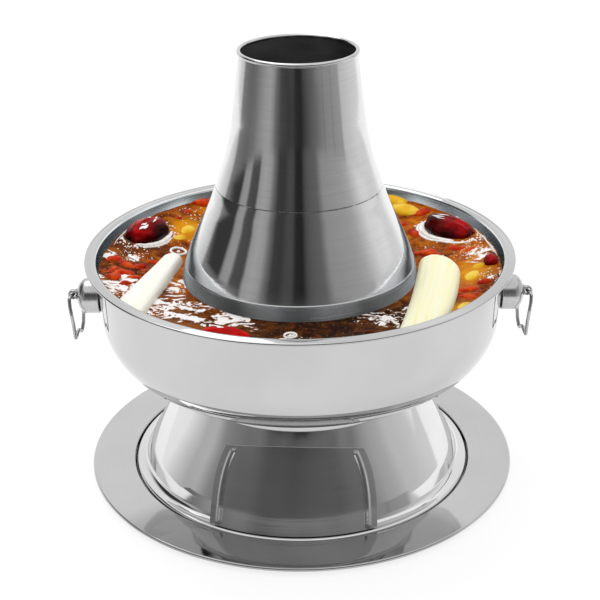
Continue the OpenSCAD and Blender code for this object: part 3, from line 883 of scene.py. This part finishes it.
def ball(n_u=40, n_v=24):
    v, f = [(0, 0, 1.0)], []
    for j in range(1, n_v):
        th = math.pi * j / n_v
        for i in range(n_u):
            ph = 2 * math.pi * i / n_u
            v.append((math.sin(th) * math.cos(ph), math.sin(th) * math.sin(ph), math.cos(th)))
    v.append((0, 0, -1.0))
    for i in range(n_u):
        f.append((0, 1 + i, 1 + (i + 1) % n_u))
    for j in range(n_v - 2):
        for i in range(n_u):
            a = 1 + j * n_u + i
            b = 1 + j * n_u + (i + 1) % n_u
            f.append((a, a + n_u, b + n_u, b))
    last = len(v) - 1
    base = 1 + (n_v - 2) * n_u
    for i in range(n_u):
        f.append((last, base + (i + 1) % n_u, base + i))
    return np.array(v), f


def place(v, turn, tilt, at):
    t, q = math.radians(turn), math.radians(tilt)
    R = np.array([[math.cos(t), -math.sin(t), 0], [math.sin(t), math.cos(t), 0], [0, 0, 1]]) @ np.array([[math.cos(q), 0, math.sin(q)], [0, 1, 0], [-math.sin(q), 0, math.cos(q)]])
    return v @ R.T + np.array(at, float)


def jujube(a, b, c, seed, crease=1.0):
    v, f = ball(72, 48)
    out = []
    for p_ in v:
        q_ = Vector(p_)
        # shallow folds run from end to end, and both ends are dimpled
        w = abs(noise.noise(Vector((q_.x * 0.8 + seed, q_.y * 2.1, q_.z * 2.1)))) * 0.13 * crease
        w += abs(noise.noise(Vector((q_.x * 1.6 + seed, q_.y * 5.0, q_.z * 5.0)))) * 0.035 * crease
        dim = 0.14 * math.exp(-((1 - abs(q_.x)) / 0.06) ** 2)
        k = 1 - w
        out.append((a * q_.x * (k + 0.04 - dim), b * q_.y * k, c * q_.z * k))
    return np.array(out), f


for nm, x, y, a, b, c, turn, lift, sd in JUJUBES:
    v, f = jujube(a, b, c, sd)
    contents.append(put("jujube_" + nm, within(place(v, turn, 3, (x, y, level(x, y) + lift))), f, M["jujube"], "pot", None, angle=80))
v, f = jujube(18.5, 9.5, 6.0, 3, 0.4)
contents.append(put("jujube_c", within(place(v, -20, 0, (-51.0, -114.0, level(-51.0, -114.0) - 0.2))), f, M["chili"], "pot", None, angle=80))


def cane(fl, fr, nl, nr_, b0, b1, half_h, bow, seed):
    """Split stick of cane: a half-round top with fine ribs, a flat underside."""
    n_l, n_s = 70, 64
    fl, fr, nl, nr_ = (np.array(q_, float) for q_ in (fl, fr, nl, nr_))
    p0, p1 = (fl + fr) / 2, (nl + nr_) / 2
    L = math.dist(p0, p1)
    ang = math.degrees(math.atan2(p1[1] - p0[1], p1[0] - p0[0])) - 90
    ca, sa = math.cos(math.radians(-ang)), math.sin(math.radians(-ang))
    fl, fr, nl, nr_ = (np.array([ca * (q_ - (p0 + p1) / 2)[0] - sa * (q_ - (p0 + p1) / 2)[1], sa * (q_ - (p0 + p1) / 2)[0] + ca * (q_ - (p0 + p1) / 2)[1]]) for q_ in (fl, fr, nl, nr_))
    rows_ = []
    for i in range(n_l + 1):
        # the rings lie closer at both ends, where it is rounded
        s = 0.5 - 0.5 * math.cos(math.pi * i / n_l)
        e = min(s, 1 - s) * L
        k = math.sqrt(max(0.0, 1 - (1 - min(1.0, e / 5.0)) ** 2))
        row = []
        for j in range(n_s):
            a = 2 * math.pi * j / n_s
            cx, cz = math.cos(a), math.sin(a)
            # super-ellipse section
            q = math.copysign(abs(cx) ** 0.62, cx) * (0.93 + 0.07 * k)
            far, near = fr + (fl - fr) * (q + 1) / 2, nr_ + (nl - nr_) * (q + 1) / 2
            at = far + (near - far) * s
            yy = at[1] - b0 * (1 - q * q) * (1 - s) ** 3 + b1 * (1 - q * q) * s ** 3
            zz = math.copysign(abs(cz) ** (0.62 if cz > 0 else 0.6), cz) * half_h * (1 if cz > 0 else 0.8) * (0.62 + 0.38 * k)
            rib = 0.22 * noise.noise(Vector((at[0] * 0.9 + seed, s * 1.6, cz))) + 0.16 * noise.noise(Vector((at[0] * 2.6 + seed, s * 3.0, cz)))
            row.append((at[0] * (1 + rib * 0.02) - bow * math.sin(math.pi * s), yy, zz + rib))
        rows_.append(row)
    v = [p_ for r_ in rows_ for p_ in r_]
    f = []
    for i in range(n_l):
        for j in range(n_s):
            j2 = (j + 1) % n_s
            f.append((i * n_s + j, i * n_s + j2, (i + 1) * n_s + j2, (i + 1) * n_s + j))
    # close both ends with a shallow dome
    for i, y_ in ((0, -1.4), (n_l, 1.4)):
        c_ = np.mean([v[i * n_s + j] for j in range(n_s)], axis=0)
        inner_ = []
        for j in range(n_s):
            q_ = np.array(v[i * n_s + j])
            m_ = c_ + (q_ - c_) * 0.6
            inner_.append(len(v))
            v.append((m_[0], m_[1] + y_ * 0.8, m_[2]))
        tip = len(v)
        v.append((c_[0], c_[1] + y_, c_[2]))
        for j in range(n_s):
            j2 = (j + 1) % n_s
            q4 = (i * n_s + j, i * n_s + j2, inner_[j2], inner_[j])
            q3 = (inner_[j], inner_[j2], tip)
            f.append(tuple(reversed(q4)) if i == 0 else q4)
            f.append(tuple(reversed(q3)) if i == 0 else q3)
    return np.array(v, float), f, ang, p0, p1


for nm, *corners, h, bow, sd in CANES:
    v, f, ang, p0, p1 = cane(*corners, h, bow, sd)
    mid = (p0 + p1) / 2
    ob = put("cane_" + nm, v, f, M["cane_pale" if nm == "left" else "cane"], None, None, angle=70)
    z0, z1_ = level(*p0), level(*p1)
    ob.location = (mid[0] * MM, mid[1] * MM, ((z0 + z1_) / 2 - h * 0.25) * MM)
    ob.rotation_euler = (math.atan2(z1_ - z0, math.dist(p0, p1)) * 0.8, 0, math.radians(ang))
    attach(ob, "pot")
    contents.append(ob)

# goji berries, thin slices and roots scattered in the broth
spots = [(-140, 9, 7, 20), (-131, 3, 8, -20), (-122, 1, 6.5, 30), (-138, -22, 8, -35), (-131, -12, 8.5, 15), (-140, -8, 6, 60), (-124, -18, 7, -10), (-128, -30, 6, 20), (-112, 14, 5, 10),
         (-78, 120, 10, 8), (-66, 131, 8, 0), (84, 84, 7, -40), (101, 98, 8, 30), (101, 27, 10, -30), (94, 31, 7, -20), (122, 30, 8, -20), (131, 24, 6, 30), (124, -46, 9, 15), (121, -59, 9, -25), (127, -54, 6, 60), (134, -36, 6, 10),
         (92, 66, 8, -60), (-30, 140, 7, 10), (20, 138, 7, -20), (52, 134, 6, 30), (-92, 104, 5, 40), (-100, 92, 5, -10)]
parts = []
for i, (x, y, a, turn) in enumerate(spots):
    v, f = ball(28, 16)
    w = np.array([[p_[0] * a * (1 - 0.10 * p_[0]), p_[1] * a * 0.52, p_[2] * a * 0.42] for p_ in v])
    w = np.array([q_ * (1 + 0.30 * noise.noise(Vector(q_ * 0.22) + Vector((i * 2.3, 0.7, 0)))) for q_ in w])
    parts.append((within(place(w, turn, float(rng.uniform(-14, 14)), (x, y, level(x, y) - 1.0 + float(rng.uniform(-0.9, 0.7))))), f))
contents.append(put("goji_berries", *merge(*parts), M["goji"], "pot", None, angle=80))
parts = []
for i, (x, y, a, b, turn) in enumerate([(86, 106, 14, 9, -30), (76, 124, 15, 9, -20), (64, 133, 14, 8, -10), (128, -20, 10, 6, 60), (135, -6, 7, 5, 20), (116, -74, 9, 6, 50), (-90, 77, 10, 6, 60), (-96, 62, 7, 5, 30), (34, 132, 12, 7, 0), (-50, 130, 11, 6, 10)]):
    v, f = ball(36, 20)
    w = np.array([[p_[0] * a, p_[1] * b, p_[2] * 5.0] for p_ in v])
    w = np.array([q_ * (1 + 0.12 * noise.noise(Vector(q_ * 0.16) + Vector((i * 3.1, 0, 0)))) for q_ in w])
    parts.append((within(place(w, turn, 0, (x, y, level(x, y) - (1.2 if i < 3 else 3.2)))), f))
contents.append(put("root_slices", *merge(*parts), M["lump"], "pot", None, angle=80))


def film():
    m, t, bsdf = material("foam_and_painted_glints")
    co = t.add("ShaderNodeTexCoord").outputs["Object"]
    a = t.noise(co, 160.0, 3.0)
    t.link(t.ramp(a, [(0.32, (0.90, 0.82, 0.74)), (0.46, (0.98, 0.95, 0.92)), (0.6, (1.0, 0.98, 0.96))]), bsdf.inputs["Base Color"])
    t.link(t.range(a, 0.3, 0.7, 0.08, 0.2), bsdf.inputs["Roughness"])
    bsdf.inputs["Coat Weight"].default_value = 0.5
    t.link(t.bump(a, 0.2, 0.0005), bsdf.inputs["Normal"])
    return m


def strand(path, radii_, sides=10, flat_=0.7):
    """Tube along an open path, closed by a point at both ends."""
    p_ = [np.array(q_, float) for q_ in path]
    v, f = [], []
    n = len(p_)
    for i in range(n):
        d = unit(p_[min(i + 1, n - 1)] - p_[max(i - 1, 0)])
        side_ = unit(np.cross(d, [0, 0, 1.0]))
        up_ = np.cross(side_, d)
        for k in range(sides):
            a = 2 * math.pi * k / sides
            v.append(p_[i] + radii_[i] * (math.cos(a) * side_ + flat_ * math.sin(a) * up_))
    for i in range(n - 1):
        for k in range(sides):
            k2 = (k + 1) % sides
            f.append((i * sides + k, i * sides + k2, (i + 1) * sides + k2, (i + 1) * sides + k))
    a0, a1 = len(v), len(v) + 1
    v += [p_[0] - unit(p_[1] - p_[0]) * radii_[0], p_[-1] + unit(p_[-1] - p_[-2]) * radii_[-1]]
    for k in range(sides):
        k2 = (k + 1) % sides
        f.append((a0, k2, k))
        f.append((a1, (n - 1) * sides + k, (n - 1) * sides + k2))
    return np.array(v), f


# foam: a thick rope along the near side of both jujubes, rows of small bubbles
# round the food, a few big ones in the open
parts = []


def bubble(x, y, r, sink=0.45):
    v, f = ball(14, 8)
    parts.append((v * r * np.array([1, 1, 0.8]) + np.array([x, y, soup_height(x, y) - r * sink]), f))


def near_side(j, a0, a1, d, width, seed):
    nm, jx, jy, a, b, c, turn, lift, sd = j
    t_ = math.radians(turn)
    pts_, rad_ = [], []
    n = 46
    for i in range(n):
        s = i / (n - 1)
        ph = math.radians(a0 + (a1 - a0) * s)
        u_, v_ = (a + d) * math.cos(ph), (b + d) * math.sin(ph)
        x, y = jx + u_ * math.cos(t_) - v_ * math.sin(t_), jy + u_ * math.sin(t_) + v_ * math.cos(t_)
        k = min(1.0, (150.0 - 2.6) / math.hypot(x, y))
        x, y = x * k, y * k
        pts_.append((x, y, soup_height(x, y) + 0.1))
        rad_.append(width * (0.25 + 0.75 * math.sin(math.pi * min(1.0, max(0.0, s))) ** 0.6) * (1 + 0.28 * noise.noise(Vector((s * 9.0, seed, 0)))))
    parts.append(strand(pts_, rad_))


def glint(j, uv, width):
    nm, jx, jy, a, b, c, turn, lift, sd = j
    t_ = math.radians(turn)
    pts_ = []
    for i in range(14):
        s = i / 13
        u_ = uv[0] + (uv[2] - uv[0]) * s + 0.03 * math.sin(7 * s)
        v_ = uv[1] + (uv[3] - uv[1]) * s + 0.03 * math.cos(5 * s)
        q_ = Vector((u_, v_, math.sqrt(max(0.05, 1 - u_ * u_ - v_ * v_))))
        w = abs(noise.noise(Vector((q_.x * 0.8 + sd, q_.y * 2.1, q_.z * 2.1)))) * 0.13 + abs(noise.noise(Vector((q_.x * 1.6 + sd, q_.y * 5.0, q_.z * 5.0)))) * 0.035
        e = np.array([a * q_.x * (1.04 - w), b * q_.y * (1 - w), c * q_.z * (1 - w)]) + 0.3 * np.array(q_)
        pts_.append(place(e, turn, 3, (jx, jy, level(jx, jy) + lift)))
    parts.append(strand(pts_, [width * (0.3 + 0.7 * math.sin(math.pi * i / 13)) for i in range(14)], 8, 0.4))


# painted highlights: thin white strands laid over the skins of the two jujubes and the front date
glint(JUJUBES[0], (-0.62, -0.42, -0.30, -0.52), 2.4)
glint(JUJUBES[0], (-0.44, -0.28, -0.26, -0.36), 1.3)
glint(JUJUBES[0], (0.00, -0.52, 0.30, -0.30), 0.8)
glint(JUJUBES[0], (0.34, -0.26, 0.50, -0.02), 0.8)
glint(JUJUBES[0], (0.10, 0.05, 0.22, 0.00), 0.6)
glint(JUJUBES[1], (-0.66, -0.28, -0.20, -0.24), 1.1)
glint(JUJUBES[1], (-0.56, -0.08, -0.10, -0.02), 0.7)
glint(JUJUBES[1], (-0.52, -0.44, -0.10, -0.44), 0.6)
glint(JUJUBES[1], (0.02, 0.48, 0.16, 0.46), 0.6)
glint(("c", -51.0, -114.0, 18.5, 9.5, 6.0, -20, -0.2, 3), (-0.42, 0.10, -0.10, 0.02), 1.3)
glint(("c", -51.0, -114.0, 18.5, 9.5, 6.0, -20, -0.2, 3), (-0.60, 0.22, -0.40, 0.26), 0.6)
# painted highlights: thin white strands stand for wet glints where the broth climbs the wall
for a0, a1, dz, w in ((149, 160, 0.9, 0.55), (155, 167, 0.2, 0.45), (8, 20, 0.4, 0.6), (2, 13, 0.0, 0.5), (14, 24, 1.0, 0.4)):
    pts_ = [(149.0 * math.cos(math.radians(a0 + (a1 - a0) * i / 15)), 149.0 * math.sin(math.radians(a0 + (a1 - a0) * i / 15))) for i in range(16)]
    pts_ = [(x * (1 - 0.010 * i / 15), y * (1 - 0.010 * i / 15), soup_height(x, y) + 0.4 + dz * math.sin(0.7 * i)) for i, (x, y) in enumerate(pts_)]
    parts.append(strand(pts_, [w * (0.25 + 0.75 * math.sin(math.pi * i / 15)) for i in range(16)], 8, 0.8))
near_side(JUJUBES[0], -150, -35, 1.6, 2.3, 1.0)
near_side(JUJUBES[0], -135, -60, 3.8, 1.3, 2.0)
near_side(JUJUBES[1], 150, 300, 2.0, 2.7, 3.0)
near_side(JUJUBES[1], 165, 265, 4.8, 1.9, 4.0)
near_side(JUJUBES[1], 250, 330, 4.0, 1.5, 5.0)
for (nm, jx, jy, a, b, c, turn, lift, sd), lim in zip(JUJUBES[:2], (0.35, 0.5)):
    t_ = math.radians(turn)
    for k in range(240):
        ph = float(rng.uniform(0, 2 * math.pi))
        front_side = math.sin(ph + t_) < lim
        if not front_side and rng.uniform() < 0.8:
            continue
        d = 1.06 + abs(float(rng.normal(0, 0.16)))
        u_, v_ = a * d * math.cos(ph), b * (d + 0.10) * math.sin(ph)
        x, y = jx + u_ * math.cos(t_) - v_ * math.sin(t_), jy + u_ * math.sin(t_) + v_ * math.cos(t_)
        if SOUP_IN + 9 < math.hypot(x, y) < SOUP_OUT - 1.8:
            bubble(x, y, float(rng.uniform(0.35, 1.2)))
for cx, cy, w, n_ in ((-126, -40, 14, 90), (-128, 24, 12, 60), (-104, -76, 9, 40), (134, 18, 12, 110), (101, -60, 6, 26), (64, -84, 14, 60), (-84, 50, 8, 20), (-4, -118, 8, 16), (139, -30, 9, 50), (-82, -30, 9, 40), (-88, 100, 16, 40), (110, 6, 14, 30)):
    for k in range(n_):
        x, y = cx + float(rng.normal(0, w * 0.55)), cy + float(rng.normal(0, w * 0.55))
        if SOUP_IN + 9 < math.hypot(x, y) < SOUP_OUT - 1.5:
            bubble(x, y, float(rng.uniform(0.25, 0.8)))
# one big open bubble above the left cane, and the crown of a smaller one in front; the small white ball in the middle
# of each is a painted highlight
for cx, cy, R0, w in ((-94.5, 37.5, 6.0, 1.0), (-7.0, -113.0, 4.2, 0.8)):
    n = 40
    ring_ = [(cx + R0 * math.cos(2 * math.pi * i / n), cy + R0 * math.sin(2 * math.pi * i / n)) for i in range(n)]
    ring_ = [np.array([x, y, soup_height(x, y) + 0.5]) for x, y in ring_]
    parts.append(sweep(ring_, w, 10))
    bubble(cx, cy, 1.5, -0.1)
contents.append(put("foam_and_painted_glints", *merge(*parts), film(), "pot", None, angle=80))
for ob in contents:
    ob.visible_glossy = False


# ------------------------------------------------------------------ stage
me = bpy.data.meshes.new("floor")
S = 8.0
me.from_pydata([(-S, -S, -0.0003), (S, -S, -0.0003), (S, S, -0.0003), (-S, S, -0.0003)], [], [(0, 1, 2, 3)])
fm, t, bsdf = material("pale_floor")
co = t.add("ShaderNodeTexCoord").outputs["Object"]
t.link(t.mix(t.noise(co, 6.0, 3.0), (0.28, 0.28, 0.28), (0.31, 0.31, 0.31)), bsdf.inputs["Base Color"])
bsdf.inputs["Roughness"].default_value = 0.75
bsdf.inputs["Specular IOR Level"].default_value = 0.2
bsdf.inputs["Emission Color"].default_value = (1, 1, 1, 1)
bsdf.inputs["Emission Strength"].default_value = 0.74
me.materials.append(fm)
floor = bpy.data.objects.new("floor", me)
bpy.context.scene.collection.objects.link(floor)

world = bpy.data.worlds.new("studio")
bpy.context.scene.world = world
world.use_nodes = True
world.node_tree.nodes["Background"].inputs["Color"].default_value = (0.97, 0.97, 0.97, 1)
world.node_tree.nodes["Background"].inputs["Strength"].default_value = 1.0

# A light tent round the object: softboxes and black cards, which only
# reflections see. The number is the brightness by azimuth from the front.
TENT_R, TENT_H = 1.6, 2.0
seg = 180
tv, tf = [], []
for k in range(seg):
    a = 2 * math.pi * k / seg
    for z in (0.0, TENT_H):
        tv.append((TENT_R * math.cos(a), TENT_R * math.sin(a), z))
for k in range(seg):
    k2 = (k + 1) % seg
    tf.append((2 * k, 2 * k + 1, 2 * k2 + 1, 2 * k2))
me = bpy.data.meshes.new("light_tent")
me.from_pydata(tv, [], tf)
tm = bpy.data.materials.new("tent_light")
tm.use_nodes = True
t = Tree(tm.node_tree)
t.n.clear()
tc = t.add("ShaderNodeTexCoord").outputs["Object"]
sep = t.add("ShaderNodeSeparateXYZ")
t.link(tc, sep.inputs[0])
az = t.math("ARCTAN2", sep.outputs[0], t.math("MULTIPLY", sep.outputs[1], -1.0))
u = t.range(az, -math.pi, math.pi, 0.0, 1.0)


def deg(a):
    return (a + 180.0) / 360.0


# one row of strips for the slim upper cone, one for the lower cone
upper_strips = [(-180, 1.15), (-138, 0.95), (-117, 0.62), (-113, 0.26), (-105, 0.20), (-92, 0.16), (-79, 0.19), (-69, 0.29), (-60, 0.37), (-50, 0.40), (-44, 0.31), (-39, 0.17), (-30, 0.075), (-17, 0.050), (-10, 0.055),
                (-4, 0.030), (4, 0.022), (10, 0.060), (18, 0.105), (32, 0.18), (41, 0.26), (42.5, 0.19), (44, 0.28), (57, 0.31), (58.5, 0.24), (60, 0.32), (75, 0.37), (78, 0.59), (105, 0.74), (126, 0.80), (140, 1.1), (180, 1.15)]
lower_strips = [(-180, 1.0), (-136, 0.90), (-128, 0.52), (-121, 0.040), (-88, 0.045), (-84, 0.34), (-76, 0.36), (-72, 0.09), (-61, 0.075), (-58, 0.36), (-50, 0.42), (-42, 0.36), (-37, 0.19), (-30, 0.055), (-22, 0.045),
                (-15, 0.075), (-9, 0.075), (-5, 0.025), (3, 0.020), (8, 0.085), (14, 0.115), (25, 0.145), (33, 0.31), (62, 0.38), (72, 0.45), (80, 0.58), (91, 0.78), (107, 0.86), (121.5, 0.86), (123, 0.18), (125.5, 0.18), (127, 0.95)]
zz = sep.outputs[2]
col = t.mix(t.range(zz, 0.24, 0.36, 0.0, 1.0, True), t.ramp(u, [(deg(a), v) for a, v in upper_strips]), t.ramp(u, [(deg(a), v) for a, v in lower_strips]))
# above the cards the tent is white
col = t.mix(t.range(zz, 1.25, 1.7, 0.0, 1.0, True), col, (1.1, 1.1, 1.1))
em = t.add("ShaderNodeEmission")
t.link(col, em.inputs["Color"])
out = t.add("ShaderNodeOutputMaterial")
t.link(em.outputs[0], out.inputs["Surface"])
me.materials.append(tm)
tent = bpy.data.objects.new("light_tent", me)
bpy.context.scene.collection.objects.link(tent)
tent.visible_camera = False
tent.visible_diffuse = False
tent.visible_shadow = False
tent.visible_transmission = False

# Low cards close to the pedestal; the chimney's reflections pass above them.
CARD_R = 0.42
card_top = [(-134, 0.075), (-115, 0.09), (-102, 0.11), (-90, 0.14), (-76, 0.17), (-62, 0.195), (-47, 0.21), (-32, 0.225), (0, 0.232), (32, 0.225), (47, 0.21), (62, 0.195), (76, 0.17), (90, 0.14), (102, 0.11), (115, 0.09), (134, 0.075)]
cv, cf = [], []
card_turns = np.linspace(-134, 134, 135)
for a in card_turns:
    hi_z = float(np.interp(a, [p_[0] for p_ in card_top], [p_[1] for p_ in card_top]))
    lo_z = float(np.interp(a, [-134, -82, -76, 134], [0.002, 0.002, 0.07, 0.07]))
    for z in (min(lo_z, hi_z - 0.004), hi_z):
        cv.append((CARD_R * math.sin(math.radians(a)), -CARD_R * math.cos(math.radians(a)), z))
for k in range(len(card_turns) - 1):
    cf.append((2 * k, 2 * k + 2, 2 * k + 3, 2 * k + 1))
me = bpy.data.meshes.new("low_cards")
me.from_pydata(cv, [], cf)
cm = bpy.data.materials.new("card_light")
cm.use_nodes = True
t = Tree(cm.node_tree)
t.n.clear()
tc = t.add("ShaderNodeTexCoord").outputs["Object"]
sep = t.add("ShaderNodeSeparateXYZ")
t.link(tc, sep.inputs[0])
az = t.math("ARCTAN2", sep.outputs[0], t.math("MULTIPLY", sep.outputs[1], -1.0))
u = t.range(az, -math.pi, math.pi, 0.0, 1.0)
cards = [(-134, 1.0), (-104, 1.02), (-97, 0.85), (-90, 0.69), (-82, 0.52), (-73, 0.54), (-64, 0.30), (-56, 0.24), (-45, 0.19), (-34, 0.20), (-26, 0.13), (-14, 0.15), (-6, 0.12), (4, 0.15), (18, 0.16), (27, 0.15), (33, 0.22), (41, 0.20),
         (49, 0.33), (56, 0.42), (64, 0.48), (72, 0.60), (80, 0.62), (95, 0.72), (104, 1.0), (118, 1.1), (124, 0.9), (127, 0.5), (131, 0.9)]
em = t.add("ShaderNodeEmission")
t.link(t.ramp(u, [(deg(a), v) for a, v in cards]), em.inputs["Color"])
out = t.add("ShaderNodeOutputMaterial")
t.link(em.outputs[0], out.inputs["Surface"])
me.materials.append(cm)
low_cards = bpy.data.objects.new("low_cards", me)
bpy.context.scene.collection.objects.link(low_cards)
low_cards.visible_camera = False
low_cards.visible_diffuse = False
low_cards.visible_shadow = False
low_cards.visible_transmission = False


def area(name, at, look, size, power, size_y=None):
    ld = bpy.data.lights.new(name, "AREA")
    ld.energy = power
    ld.size = size
    if size_y:
        ld.shape = "RECTANGLE"
        ld.size_y = size_y
    o = bpy.data.objects.new(name, ld)
    o.location = at
    o.rotation_euler = (Vector(look) - Vector(at)).to_track_quat("-Z", "Y").to_euler()
    bpy.context.scene.collection.objects.link(o)
    return o


area("key_top", (-0.4, 0.5, 1.6), (0, 0, 0.1), 0.9, 5)

cam = bpy.data.cameras.new("camera")
cam.lens = 81.96
cam.sensor_width = 36
co = bpy.data.objects.new("camera", cam)
rot = Matrix.Rotation(math.radians(65.22), 3, "X") @ Matrix.Rotation(math.radians(-0.53), 3, "Z")
co.rotation_euler = rot.to_euler()
co.location = (-0.00026, -0.9438, 0.5701)
bpy.context.scene.collection.objects.link(co)
bpy.context.scene.camera = co
bpy.context.scene.view_settings.view_transform = "Standard"
